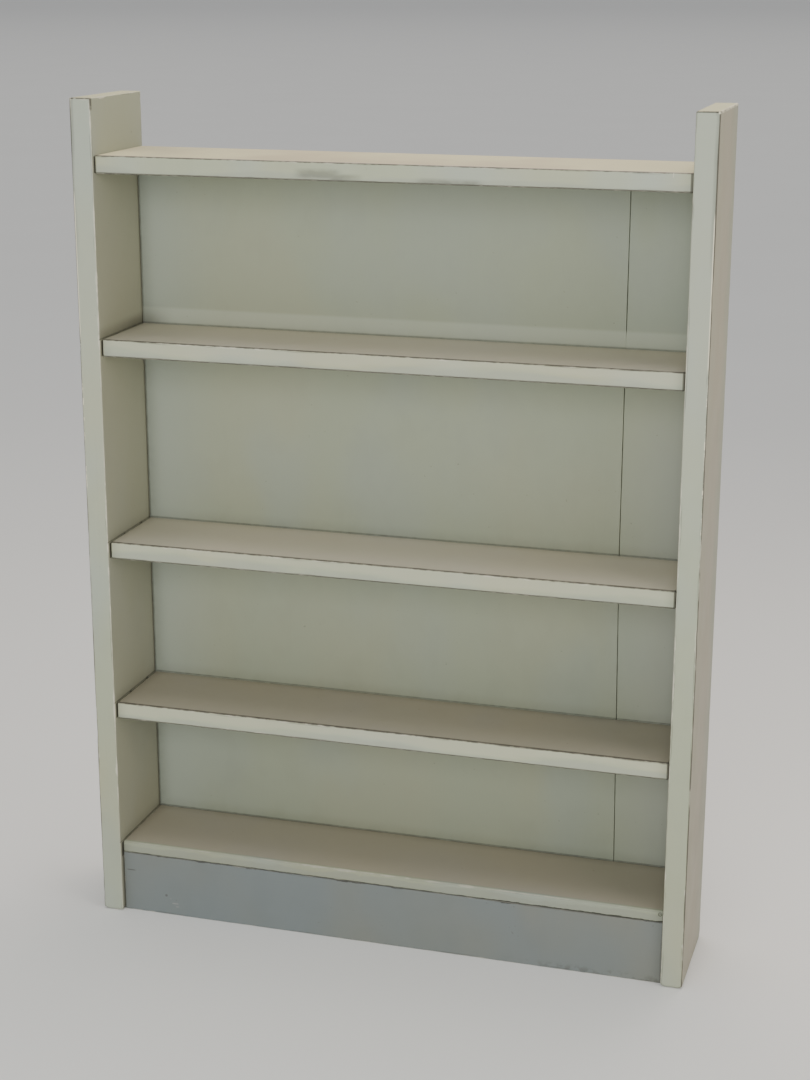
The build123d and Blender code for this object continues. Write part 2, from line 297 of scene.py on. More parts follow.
class Paint(Graph):
    """Old brushed eggshell paint, built up in layers: patchy tone first, then what happened to it."""

    def __init__(self, name, tones, grain, seed, brushing=0.02):
        super().__init__(name)
        self.seed = seed
        plain, warm, cool = tones
        patch = self.noise((5.0, 5.0, 3.0), detail=2.0, seed=seed)
        self.colour = self.mix(self.ramp(patch, 0.42, 0.62), plain, warm)
        patch = self.noise((7.0, 7.0, 4.0), detail=2.0, seed=seed + 11)
        self.lay(self.ramp(patch, 0.45, 0.68), cool)
        self.cloud = self.noise((26.0, 26.0, 18.0), detail=4.0, seed=seed + 3)
        self.brush = self.noise(grain_scale(grain), detail=3.0, seed=seed + 5)
        self.shade(self.ramp(self.cloud, 0.3, 0.7, 0.965, 1.03))
        self.shade(self.ramp(self.brush, 0.25, 0.75, 1.0 - brushing, 1.0 + brushing))
        self.ragged = self.noise((120.0, 120.0, 120.0), detail=4.0, seed=seed + 19)

    def lay(self, mask, colour, amount=1.0):
        """Cover the paint with a colour where the mask is 1."""
        if amount != 1.0:
            mask = self.math("MULTIPLY", mask, amount)
        self.colour = self.mix(mask, self.colour, colour)

    def shade(self, factor):
        """Multiply the paint by a factor."""
        self.colour = self.mix(1.0, self.colour, self.mix(factor, BLACK, WHITE), "MULTIPLY")

    def rub_arrises(self, reach=1.0, amount=0.75, dirt=0.5):
        """Arrises rubbed pale, with a broken thin line of dirt beside them."""
        edge = self.value("edge")
        fray = self.noise((60.0, 60.0, 60.0), detail=4.0, seed=self.seed + 7)
        run = self.noise((9.0, 9.0, 9.0), detail=2.0, seed=self.seed + 13)
        bare = self.all_of(self.ramp(fray, 0.35, 0.75), self.ramp(run, 0.35, 0.65, 0.5, 3.0), reach * MM)
        rubbed = self.ramp(self.math("SUBTRACT", edge, bare), -0.4 * MM, 0.5 * MM, 1.0, 0.0)
        self.lay(rubbed, WORN, amount)
        line_at = self.math("MULTIPLY", self.ramp(run, 0.3, 0.7, 1.0, 2.4), MM)
        line = self.ramp(self.math("ABSOLUTE", self.math("SUBTRACT", edge, line_at)), 0.0, 0.7 * MM, 1.0, 0.0)
        broken = self.ramp(self.noise((16.0, 16.0, 16.0), detail=5.0, seed=self.seed + 17), 0.50, 0.62)
        self.lay(self.all_of(line, broken), GRIME_AND_SHADE, dirt)

    def soil_and_shade_joints(self, joints, where=1.0, soft=0.18, hard=0.8, width=2.4 * MM):
        """Dirt and old paint beside the planes where boards meet, each (axis, place, side), with painted
        shade in the corner.
        """
        spread = self.any_of(*[self.near(axis, place, 18 * MM, side) for axis, place, side in joints])
        tight = self.any_of(*[self.near(axis, place, width, side, width / 3) for axis, place, side in joints])
        uneven = self.ramp(self.ragged, 0.3, 0.7, 0.7, 1.0)
        # Painted shade: the soft spread darkens the corner; the tight line is joint dirt with painted shade.
        self.lay(self.all_of(spread, uneven, where), GRIME_AND_SHADE, soft)
        self.lay(self.all_of(tight, uneven, where), GRIME_AND_SHADE, hard)

    def finish(self):
        """Specks, gloss and relief; returns the material."""
        specks = self.ramp(self.noise((210.0, 210.0, 210.0), detail=1.0, seed=self.seed + 23), 0.75, 0.81)
        self.lay(specks, GRIME_AND_SHADE, 0.3)
        self.put(self.shader.inputs["Base Color"], self.colour)
        rough = self.ramp(self.cloud, 0.3, 0.7, 0.46, 0.60)
        rough = self.math("ADD", rough, self.math("MULTIPLY", self.brush, 0.06))
        self.put(self.shader.inputs["Roughness"], rough)
        self.shader.inputs["Specular IOR Level"].default_value = 0.4
        lumps = self.noise((90.0, 90.0, 90.0), detail=2.0, seed=self.seed + 29)
        normal = self.bump(self.brush, 0.25, 0.08 * MM)
        normal = self.bump(lumps, 0.25, 0.2 * MM, normal)
        self.put(self.shader.inputs["Normal"], normal)
        return self.material


def bare_wood(name, light, dark, grain, seed):
    """Unpainted wood with rings drawn out along the grain."""
    g = Graph(name)
    scale = [160.0] * 3
    scale[grain] = 6.0
    rings = g.noise(tuple(scale), detail=4.0, rough=0.6, seed=seed)
    colour = g.mix(g.ramp(rings, 0.35, 0.65), light, dark)
    pores = g.noise(tuple(5 * s for s in scale), detail=2.0, seed=seed + 1)
    colour = g.mix(g.ramp(pores, 0.60, 0.72, 0.0, 0.45), colour, dark)
    g.put(g.shader.inputs["Base Color"], colour)
    g.put(g.shader.inputs["Roughness"], g.ramp(rings, 0.3, 0.7, 0.62, 0.78))
    g.put(g.shader.inputs["Normal"], g.bump(pores, 0.3, 0.15 * MM))
    return g.material


def steel(name, tone, rust, rust_share, seed):
    """Dull steel with fine turning marks and specks of rust."""
    g = Graph(name)
    spots = g.ramp(g.noise((500.0, 500.0, 500.0), detail=4.0, seed=seed), 0.62 - rust_share, 0.72)
    colour = g.mix(spots, tone, rust)
    g.put(g.shader.inputs["Base Color"], colour)
    g.put(g.shader.inputs["Metallic"], g.math("SUBTRACT", 1.0, spots))
    g.put(g.shader.inputs["Roughness"], g.ramp(spots, 0.0, 1.0, 0.34, 0.8))
    marks = g.noise((4000.0, 300.0, 300.0), detail=2.0, seed=seed + 1)
    g.put(g.shader.inputs["Normal"], g.bump(marks, 0.2, 0.03 * MM))
    return g.material


# ---- boards ---------------------------------------------------------------------
FINE_STEPS = (0.0, 0.35, 0.8, 1.4, 2.2, 3.2, 5.0, 9.0)
FAR_FROM_EDGES = 50 * MM
FACE_WAVE = 0.12 * MM
SAME_PLACE = 1e-7
NO_LENGTH = 1e-9


def grid_lines(low, high, step):
    """Places of a board's mesh lines along one axis, close together at the arrises."""
    fine = [s * MM for s in FINE_STEPS if s * MM < (high - low) / 2 - 0.5 * MM]
    first, last = low + fine[-1], high - fine[-1]
    count = max(1, round((last - first) / step))
    middle = [first + (last - first) * i / count for i in range(1, count)]
    return [low + s for s in fine] + middle + [high - s for s in reversed(fine)]


def surface_grid(lines):
    """Vertices and quads of a box whose faces are divided at the given lines."""
    counts = [len(axis_lines) for axis_lines in lines]
    index, places, faces = {}, [], []

    def vertex(key):
        if key not in index:
            index[key] = len(places)
            places.append(Vector([lines[a][key[a]] for a in range(3)]))
        return index[key]

    for normal in range(3):
        u, v = (normal + 1) % 3, (normal + 2) % 3
        for end in (0, counts[normal] - 1):
            for i in range(counts[u] - 1):
                for j in range(counts[v] - 1):
                    quad = []
                    for di, dj in ((0, 0), (1, 0), (1, 1), (0, 1)):
                        key = [0, 0, 0]
                        key[normal], key[u], key[v] = end, i + di, j + dj
                        quad.append(vertex(tuple(key)))
                    faces.append(quad if end else quad[::-1])
    return places, faces


def arris_radius(place, base, wear, seed):
    """Radius of the eased arris: even planing plus soft knocks."""
    slow = noise.noise(place * 9.0 + Vector((seed, 0, 0)))
    knock = noise.noise(place * 55.0 + Vector((0, seed, 0)))
    knock = max(0.0, knock - 0.28) / 0.72
    return base * (1 + 0.25 * slow) + wear * knock


def ease(place, low, high, radius):
    """A point of a sharp box moved onto the box with rounded arrises."""
    core = Vector([min(max(place[a], low[a] + radius), high[a] - radius) for a in range(3)])
    out = place - core
    return core + out.normalized() * radius if out.length > NO_LENGTH else place.copy()


def edge_distance(place, low, high):
    """How far a point of the sharp box is from its nearest arris."""
    gaps = sorted(min(place[a] - low[a], high[a] - place[a]) for a in range(3))
    return gaps[1]


def mark_points(mesh, edges, shares):
    """Keep each point's distance from an arris and its place in the board's box, for the paint."""
    mesh.attributes.new("edge", "FLOAT", "POINT")
    mesh.attributes["edge"].data.foreach_set("value", edges)
    mesh.attributes.new("share", "FLOAT_VECTOR", "POINT")
    mesh.attributes["share"].data.foreach_set("vector", shares)


def make_board(name, node, grain, base, wear, step, seed, warp=None):
    """A planed, eased and knocked-about board that fills its CAD node's box."""
    low, high = (Vector(corner) for corner in box_of[node])
    steps = [12 * MM] * 3
    steps[grain] = step
    lines = [grid_lines(low[a], high[a], steps[a]) for a in range(3)]
    places, faces = surface_grid(lines)
    verts, edges = [], []
    for place in places:
        radius = arris_radius(place, base, wear, seed) * MM
        eased = ease(place, low, high, radius)
        unevenness = noise.noise(place * 14.0 + Vector((0, 0, seed)))
        inward = FACE_WAVE * (0.5 + 0.5 * unevenness)
        for a in range(3):
            if abs(place[a] - low[a]) < SAME_PLACE:
                eased[a] += inward
            elif abs(high[a] - place[a]) < SAME_PLACE:
                eased[a] -= inward
        verts.append(warp(eased, low, high) if warp else eased)
        edges.append(edge_distance(place, low, high))
    mesh = bpy.data.meshes.new(name)
    mesh.from_pydata([v[:] for v in verts], [], faces)
    size = high - low
    mark_points(mesh, edges, [(v[a] - low[a]) / size[a] for v in verts for a in range(3)])
    for polygon in mesh.polygons:
        polygon.use_smooth = True
    mesh.update()
    board = bpy.data.objects.new(name, mesh)
    bpy.context.scene.collection.objects.link(board)
    return board


def make_cutter(name, boxes, pegs):
    """One mesh of boxes (low, high) and round pegs (start, end, radius) to cut with."""
    work = bmesh.new()
    for low, high in boxes:
        low, high = Vector(low), Vector(high)
        made = bmesh.ops.create_cube(work, size=1.0)
        bmesh.ops.scale(work, vec=high - low, verts=made["verts"])
        bmesh.ops.translate(work, vec=(low + high) / 2, verts=made["verts"])
    for start, end, radius in pegs:
        start, end = Vector(start), Vector(end)
        made = bmesh.ops.create_cone(
            work, cap_ends=True, segments=24, radius1=radius, radius2=radius, depth=(end - start).length
        )
        turn = Vector((0, 0, 1)).rotation_difference(end - start)
        bmesh.ops.rotate(work, matrix=turn.to_matrix(), verts=made["verts"])
        bmesh.ops.translate(work, vec=(start + end) / 2, verts=made["verts"])
    mesh = bpy.data.meshes.new(name)
    work.to_mesh(mesh)
    work.free()
    mark_points(mesh, [FAR_FROM_EDGES] * len(mesh.vertices), [0.5] * 3 * len(mesh.vertices))
    cutter = bpy.data.objects.new(name, mesh)
    bpy.context.scene.collection.objects.link(cutter)
    return cutter


def cut(board, boxes=(), pegs=()):
    """Cut boxes and pegs out of a board and keep the result as its mesh."""
    cutter = make_cutter(board.name + "_cutter", boxes, pegs)
    modifier = board.modifiers.new("cut", "BOOLEAN")
    modifier.object = cutter
    modifier.solver = "EXACT"
    evaluated = board.evaluated_get(bpy.context.evaluated_depsgraph_get())
    mesh = bpy.data.meshes.new_from_object(evaluated)
    board.modifiers.clear()
    board.data = mesh
    bpy.data.objects.remove(cutter)


def set_material(piece, material):
    """Give every face of a piece this finish."""
    piece.data.materials.clear()
    piece.data.materials.append(material)


def stand_for(piece, node, body, material):
    """Put a finished piece in place of a CAD node, on its body."""
    set_material(piece, material)
    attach(piece, body)
    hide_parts(node)


# ---- sizes of the wear, the cuts and the seam --------------------------------------
FOOT_FRONT = 4 * MM
FOOT_BACK = 10 * MM
FOOT_WEAR = 5 * MM
NOSE = 4 * MM
CUT_OVER = 5 * MM
PAST_REAR = 80 * MM
PAST_ENDS = 400 * MM
LEAN_REACH = 40 * MM
FILLED_GAP = 0.02 * MM
FILLED_DEPTH = 0.06 * MM
AT_SEAM = 0.97


# ---- sides ----------------------------------------------------------------------
def round_corner(place, axes, corner, inward, radius):
    """Round a board's corner in the plane of two axes; corner and inward are pairs along them."""
    centre = [corner[i] + inward[i] * radius for i in range(2)]
    u, v = ((centre[i] - place[axes[i]]) * inward[i] / radius for i in range(2))
    if u > 0 and v > 0:
        shrink = max(u, v) / math.hypot(u, v)
        place[axes[0]] = centre[0] - inward[0] * u * shrink * radius
        place[axes[1]] = centre[1] - inward[1] * v * shrink * radius
    return place


def round_feet(place, low, high):
    """Round a side's foot: front and back by design, the other two edges by wear."""
    place = round_corner(place, (Y, Z), (low[Y], low[Z]), (1, 1), FOOT_FRONT)
    place = round_corner(place, (Y, Z), (high[Y], low[Z]), (-1, 1), FOOT_BACK)
    wear = FOOT_WEAR * (1.0 - 0.6 * (place[Y] - low[Y]) / (high[Y] - low[Y]))
    place = round_corner(place, (X, Z), (low[X], low[Z]), (1, 1), wear)
    return round_corner(place, (X, Z), (high[X], low[Z]), (-1, 1), wear)


def round_nose(place, low, high):
    """Round the bottom shelf's upper front arris to a fuller nose."""
    return round_corner(place, (Y, Z), (low[Y], high[Z]), (1, -1), NOSE)


def pin_holes(hand):
    """Pegs that cut the blind pin holes of one side: two per pin, a step apart."""
    pegs = []
    side_name = "left" if hand < 0 else "right"
    for shelf in LOOSE_SHELVES:
        for column in ("front", "back"):
            low, high = box_of[f"{shelf}_pin_{column}_{side_name}"]
            y = (low[Y] + high[Y]) / 2
            z = low[Z] + (high[Y] - low[Y]) / 2
            for step in (0, 1):
                start = (hand * (inner_x - CUT_OVER), y, z + step * HOLE_PITCH)
                end = (hand * (inner_x + HOLE_DEPTH), y, z + step * HOLE_PITCH)
                pegs.append((start, end, HOLE_RADIUS))
    return pegs


def make_side(side_name, hand, material):
    """A side board with its rebate, pin holes and rounded feet."""
    node = f"side_{side_name}"
    board = make_board(node + "_board", node, Z, 1.5, 2.6, 6 * MM, 3.0 + hand, warp=round_feet)
    near_x, far_x = sorted((hand * (inner_x - CUT_OVER), hand * (inner_x + REBATE_WIDTH)))
    rebate = ((near_x, back_front, -CUT_OVER), (far_x, PAST_REAR, back_high + REBATE_GAP))
    cut(board, [rebate], pin_holes(hand))
    stand_for(board, node, "case", material)


# ---- shelves, plinth and back -----------------------------------------------------
def make_shelf(node, body, material, seed, warp=None):
    """A shelf board; the fixed ones have rebates for the back or the plinth board."""
    board = make_board(node + "_board", node, X, 1.25, 1.6, 6 * MM, seed, warp=warp)
    low = box_of[node][0]
    under = low[Z] - CUT_OVER
    if node == "top_shelf":
        cut(board, [((-PAST_ENDS, back_front, under), (PAST_ENDS, PAST_REAR, back_high + REBATE_GAP))])
    if node == "bottom_shelf":
        behind_plinth = box_of["plinth_board"][1][Y] + PLINTH_GAP
        over_plinth = box_of["plinth_board"][1][Z] + PLINTH_GAP
        cut(board, [((-PAST_ENDS, low[Y] - CUT_OVER, under), (PAST_ENDS, behind_plinth, over_plinth))])
    stand_for(board, node, body, material)


def seam_x(z):
    """Middle of the seam between the back sheets at a height."""
    lean = max(0.0, (SEAM_KINK - z) / (SEAM_KINK - back_low))
    return seam_top + lean * (seam_foot - seam_top)


def in_band(z):
    """True in the pale band above the upper shelf, where old paint fills the seam."""
    band_low = shelf_top["shelf_upper"]
    return band_low < z < band_low + GHOST_BAND


def half_gap(z):
    """Half the seam's gap."""
    return (FILLED_GAP if in_band(z) else SEAM_GAP) / 2


def fill_groove(place, low, seam_share):
    """Bring the seam's front arris flush with the sheet where paint fills it."""
    if in_band(place[Z]) and seam_share > AT_SEAM and place[Y] < low[Y] + MM:
        place[Y] = low[Y] + FILLED_DEPTH
    return place


def lean_wide(place, low, high):
    """Draw the wide sheet's right edge to the seam."""
    share = max(0.0, 1.0 + (place[X] - high[X]) / LEAN_REACH)
    place[X] -= share * (high[X] - (seam_x(place[Z]) - half_gap(place[Z])))
    return fill_groove(place, low, share)


def lean_narrow(place, low, high):
    """Draw the narrow sheet's left edge to the seam."""
    share = max(0.0, 1.0 + (low[X] - place[X]) / LEAN_REACH)
    place[X] += share * ((seam_x(place[Z]) + half_gap(place[Z])) - low[X])
    return fill_groove(place, low, share)


# ---- stage ------------------------------------------------------------------------
# Distances from the case in metres: where the floor starts to fade, has faded, and ends.
FLOOR_FADES, FLOOR_FADED, FLOOR_RADIUS = 8.0, 60.0, 120.0
FLOOR_PALE = (0.80, 0.80, 0.79)
FLOOR_PALER = (0.84, 0.84, 0.83)
FAR_TONE = (0.585, 0.592, 0.600)


def make_floor():
    """Plain pale floor that fades towards a greyer tone far from the case."""
    g = Graph("floor_pale")
    mottle = g.noise((1.5, 1.5, 1.5), detail=3.0, seed=4)
    close_by = g.mix(mottle, FLOOR_PALE, FLOOR_PALER)
    far_off = g.ramp(g.away_from(X, 0.0, Y, 0.0), FLOOR_FADES, FLOOR_FADED)
    g.put(g.shader.inputs["Base Color"], g.mix(far_off, close_by, FAR_TONE))
    g.shader.inputs["Roughness"].default_value = 0.8
    work = bmesh.new()
    bmesh.ops.create_circle(work, cap_ends=True, segments=96, radius=FLOOR_RADIUS)
    mesh = bpy.data.meshes.new("floor")
    work.to_mesh(mesh)
    work.free()
    floor = bpy.data.objects.new("floor", mesh)
    bpy.context.scene.collection.objects.link(floor)
    set_material(floor, g.material)


def make_light(name, location, aim, size, power, colour):
    """A soft square light."""
    data = bpy.data.lights.new(name, "AREA")
    data.shape = "SQUARE"
    data.size = size
    data.energy = power
    data.color = colour
    light = bpy.data.objects.new(name, data)
    light.location = location
    direction = Vector(aim) - Vector(location)
    light.rotation_euler = direction.to_track_quat("-Z", "Y").to_euler()
    bpy.context.scene.collection.objects.link(light)


def make_sun(name, direction, strength, angle_deg, colour):
    """A distant soft light that shines along a direction."""
    data = bpy.data.lights.new(name, "SUN")
    data.energy = strength
    data.angle = math.radians(angle_deg)
    data.color = colour
    light = bpy.data.objects.new(name, data)
    light.rotation_euler = Vector(direction).to_track_quat("-Z", "Y").to_euler()
    bpy.context.scene.collection.objects.link(light)


def make_lights():
    """Broad cool light from the front at eye height, warm light from the right and from above."""
    middle = (0.0, 0.0, 0.55)
    make_light("light_front", (0.1, -3.4, 1.45), middle, 2.0, 52.0, (0.97, 1.0, 0.98))
    make_light("light_right", (2.7, -1.3, 1.4), middle, 1.8, 27.0, (1.0, 0.92, 0.82))
    make_light("light_above", (0.2, 0.7, 2.4), (0.0, 0.0, 0.9), 1.2, 22.0, (1.0, 0.86, 0.72))
    make_sun("light_room", (-0.1, 1.0, -0.30), 0.62, 36.0, (1.0, 1.0, 0.95))
    make_sun("light_ceiling", (0.0, 0.05, -1.0), 0.9, 30.0, (1.0, 0.98, 0.95))
    world = bpy.data.worlds.new("soft_room")
    world.use_nodes = True
    background = world.node_tree.nodes["Background"]
    background.inputs["Color"].default_value = (0.98, 0.99, 1.0, 1.0)
    background.inputs["Strength"].default_value = 0.33
    bpy.context.scene.world = world


# ---- finishes of this case ----------------------------------------------------------
outer_x = box_of["side_right"][1][X]
case_front = box_of["side_right"][0][Y]
case_top = box_of["side_right"][1][Z]
plinth_top = box_of["plinth_board"][1][Z]
plinth_front = box_of["plinth_board"][0][Y]
top_shelf_low = box_of["top_shelf"][0][Z]
ALL_SHELVES = tuple(shelf_top.values())
SIDE_PLANES = [(X, -inner_x, 0), (X, inner_x, 0)]
CHIPPED_LOW, CHIPPED_HIGH = 745 * MM, 910 * MM
SPECKS_LOW = 560 * MM
NAIL_INSET = 4.5 * MM
NICK_INSET = 22 * MM
KNOCK_X, KNOCK_Z = -289 * MM, 26 * MM


def dust_and_shade_tops(p):
    """Upper faces gone brown with dust, and greener at the left end; painted shade makes the lower shelves'
    tops darker.
    """
    upward = p.facing(Z, 1)
    height = p.past(Z, 0.30, 0.48)
    # Painted shade: the lower shelves' tops darker than the upper ones.
    p.lay(upward, p.mix(height, DUST_SHADED_LOW, DUST_LIT_HIGH), 0.7)
    patches = p.ramp(p.noise((4.0, 9.0, 9.0), detail=2.0, seed=87), 0.45, 0.60)
    p.lay(p.all_of(upward, patches, height), DUST_YELLOW, 0.35)
    p.lay(p.all_of(upward, height, p.past(X, -0.20, -0.34)), DUST_GREEN, 0.4)


def side_paint():
    """Sides: olive inside with painted shade of the bays, beige outside, cooler high on the front, and
    painted shade that darkens them towards the floor.
    """
    p = Paint("side_paint", (CREAM, CREAM_WARM, CREAM_COOL), Z, 1)
    across = p.math("ABSOLUTE", p.split.outputs[X])
    inner = p.ramp(across, inner_x + 0.3 * MM, inner_x + 1.0 * MM, 1.0, 0.0)
    outer = p.ramp(across, outer_x - 1.2 * MM, outer_x - 0.5 * MM)
    # Painted shade: the sides darker towards the floor.
    p.shade(p.ramp(p.split.outputs[Z], 0.0, 0.9, 0.86, 1.0))
    above = p.past(Z, shelf_top["top_shelf"] - 10 * MM, shelf_top["top_shelf"])
    # Inner faces: olive tint with painted shade of the bays.
    p.lay(inner, p.mix(above, INNER_SHADED_OLIVE, INNER_SHADED_GREEN), 0.7)
    p.lay(p.all_of(p.facing(Y, -1), p.past(Z, 0.45, 0.85)), FRONT_COOL, 0.65)
    p.lay(p.facing(Z, 1), TOP_BRIGHT, 0.6)
    p.lay(outer, outside_tone(p), 0.8)
    # Painted shade: the outer faces darker lower down.
    low_down = p.ramp(p.split.outputs[Z], 0.05, 0.9, 0.17, 0.0)
    p.shade(p.math("SUBTRACT", 1.0, p.all_of(outer, low_down)))
    p.rub_arrises()
    soil_and_shade_inside(p, inner)
    # Painted shade inside the pin holes.
    darken_holes(p, across)
    outer_arris_line(p, across)
    top_arris_lines(p, across)
    return p.finish()


def outside_tone(p):
    """Outer faces: beige near the front, pinker in the middle, greyer behind, with wandering limits."""
    wander = p.ramp(p.cloud, 0.2, 0.8, -18 * MM, 18 * MM)
    depth = p.math("ADD", p.split.outputs[Y], wander)
    front_half = p.mix(p.ramp(depth, -50 * MM, -15 * MM), OUTER_BEIGE, OUTER_PINK)
    return p.mix(p.ramp(depth, 15 * MM, 60 * MM), front_half, OUTER_GREY)


def soil_and_shade_inside(p, inner):
    """Dirt and painted shade on a side's inner face: above the shelves, along the back, in the back corner
    above the upper shelf, round shelf ends and plinth.
    """
    boxed_in = [top for top in ALL_SHELVES if top < shelf_top["top_shelf"]]
    p.soil_and_shade_joints([(Z, top, 1) for top in boxed_in], inner, hard=0.6)
    below_top = p.past(Z, top_shelf_low + MM, top_shelf_low - 4 * MM)
    p.soil_and_shade_joints([(Y, back_front, 0)], p.all_of(inner, below_top), soft=0.05, hard=0.5, width=2 * MM)
    upper = shelf_top["shelf_upper"]
    # Painted shade in the back corner above the upper shelf.
    smudge = p.all_of(
        inner, p.past(X, -inner_x + MM, -inner_x), p.past(Z, upper - MM, upper),
        p.past(Z, upper + 18 * MM, upper + 2 * MM), p.ramp(p.split.outputs[Y], -40 * MM, 30 * MM, 0.5, 1.0),
    )
    p.lay(smudge, GRIME_AND_SHADE, 0.5)
    # Painted shadow in the gaps beside the shelves' front ends.
    ends = p.any_of(*[p.within(Z, top - 20 * MM, top - 1 * MM, 0.6 * MM) for top in ALL_SHELVES])
    p.lay(p.all_of(ends, inner, p.near(Y, front_y + MM, 4.0 * MM, 0, 2.6 * MM)), GRIME_AND_SHADE, 0.8)
    # Joint dirt and painted shade where the side meets the plinth's front.
    beside_plinth = p.all_of(
        inner, p.past(Z, plinth_top + 15 * MM, plinth_top + 5 * MM),
        p.near(Y, plinth_front, 6 * MM, 0, 1.5 * MM),
    )
    p.lay(beside_plinth, GRIME_AND_SHADE, 0.62)


def darken_holes(p, across):
    """Painted shade inside the pin holes, from just below the inner face."""
    inside_board = p.all_of(
        p.ramp(across, inner_x + 0.16 * MM, inner_x + 0.24 * MM),
        p.ramp(across, outer_x - 1.3 * MM, outer_x - 1.2 * MM, 1.0, 0.0),
    )
    behind_faces = p.all_of(p.within(Y, -60 * MM, 50 * MM, MM), p.within(Z, 0.1, 0.9, MM))
    p.lay(p.all_of(inside_board, behind_faces), HOLE_SHADE, 0.9)


def outer_arris_line(p, across):
    """Dark line down each side's outer front arris, greyed at the top, with pale chips beside it."""
    edge = p.value("edge")
    wave = p.ramp(p.noise((9.0, 9.0, 14.0), detail=4.0, seed=71), 0.3, 0.7, 0.6, 1.4)
    from_edge = p.math("DIVIDE", edge, wave)
    front_outer = p.all_of(
        p.ramp(across, outer_x - 6 * MM, outer_x - 4 * MM),
        p.past(Y, case_front + 9 * MM, case_front + 5 * MM),
    )
    greyed = p.all_of(p.ramp(from_edge, 1.5 * MM, 6.0 * MM, 1.0, 0.0), p.past(Z, 0.80, 0.90))
    p.lay(p.all_of(greyed, front_outer), GRIME_AND_SHADE, 0.32)
    broken = p.ramp(p.noise((14.0, 14.0, 14.0), detail=5.0, seed=72), 0.36, 0.46, 0.35, 1.0)
    whole = p.within(Z, CHIPPED_LOW, CHIPPED_HIGH, 8 * MM)
    crisp = p.ramp(from_edge, 0.9 * MM, 1.6 * MM, 1.0, 0.0)
    p.lay(p.all_of(crisp, front_outer, p.any_of(broken, whole)), GRIME_AND_SHADE, 0.85)
    beside = p.all_of(
        p.ramp(across, outer_x - 2.3 * MM, outer_x - 1.9 * MM),
        p.ramp(across, outer_x - 1.2 * MM, outer_x - 0.9 * MM, 1.0, 0.0),
        p.past(Y, case_front + 0.9 * MM, case_front + 0.5 * MM),
    )
    flaked = p.all_of(whole, p.ramp(p.ragged, 0.26, 0.36))
    specks = p.all_of(p.within(Z, SPECKS_LOW, CHIPPED_LOW, 8 * MM), p.ramp(p.ragged, 0.50, 0.60))
    p.lay(p.all_of(beside, p.any_of(flaked, specks)), CHIPPED, 0.95)


def top_arris_lines(p, across):
    """Dark broken line along the top front arrises, turning down the left one, and pale outer ones."""
    at_front = p.past(Y, case_front + 6 * MM, case_front + 3 * MM)
    along = p.near(Z, case_top, 1.9 * MM, 0, MM)
    down = p.all_of(
        p.near(X, -inner_x, 1.3 * MM, 0, 0.6 * MM), p.past(Z, case_top - 16 * MM, case_top - 11 * MM)
    )
    broken = p.ramp(p.ragged, 0.36, 0.52, 0.25, 1.0)
    p.lay(p.all_of(p.any_of(along, down), at_front, broken), GRIME_AND_SHADE, 0.8)
    outer_top = p.all_of(
        p.ramp(across, outer_x - 2.6 * MM, outer_x - 1.6 * MM), p.near(Z, case_top, 3 * MM, 0, 2 * MM)
    )
    p.lay(p.all_of(outer_top, p.ramp(p.ragged, 0.40, 0.50)), CHIPPED, 0.8)


def shelf_paint(name, with_back):
    """Shelves: dusty tops, cream front edges handled grey below, and dark lines along the arrises, partly
    dirt and partly painted shade.
    """
    p = Paint(name, (CREAM, CREAM_WARM, CREAM_COOL), X, 2)
    dust_and_shade_tops(p)
    front = p.facing(Y, -1)
    share = p.share()
    wander = p.ramp(p.noise((8.0, 8.0, 40.0), detail=3.0, seed=61), 0.3, 0.7, -0.24, 0.24)
    height = p.math("ADD", share[Z], wander)
    p.lay(p.all_of(front, p.ramp(height, 0.15, 0.45, 1.0, 0.0)), HANDLED, 0.75)
    if with_back:
        p.lay(p.all_of(front, p.ramp(height, 0.35, 0.60)), EDGE_CREAM, 0.5)
        p.soil_and_shade_joints(SIDE_PLANES, hard=0.55)
        p.soil_and_shade_joints([(Y, back_front, 0)], width=3.4 * MM)
    p.rub_arrises()
    arris_lines(p, share)
    return p


def arris_lines(p, share):
    """Thin dark lines along a shelf's two front arrises, dirt above and dirt with painted shade under the
    lower one, and painted shadow round the ends of its front edge.
    """
    uneven = p.ramp(p.ragged, 0.3, 0.6, 0.7, 1.0)
    height = p.math("ADD", share[Z], p.ramp(p.ragged, 0.3, 0.7, -0.012, 0.012))
    # The upper line is dirt; the lower one is dirt with painted shade under the arris.
    at_arris = p.any_of(p.ramp(height, 0.935, 0.965), p.ramp(height, 0.07, 0.115, 1.0, 0.0))
    p.lay(p.all_of(at_arris, uneven, p.near(Y, front_y, 5 * MM, 0, 2.5 * MM)), GRIME_AND_SHADE, 0.85)
    # Painted shadow in the gaps at the ends of the front edge.
    right = p.past(X, inner_x - 3.8 * MM, inner_x - 3.0 * MM)
    left = p.past(X, 2.0 * MM - inner_x, 1.3 * MM - inner_x)
    p.lay(p.all_of(p.any_of(left, right), p.near(Y, front_y, 9 * MM)), GRIME_AND_SHADE, 0.78)


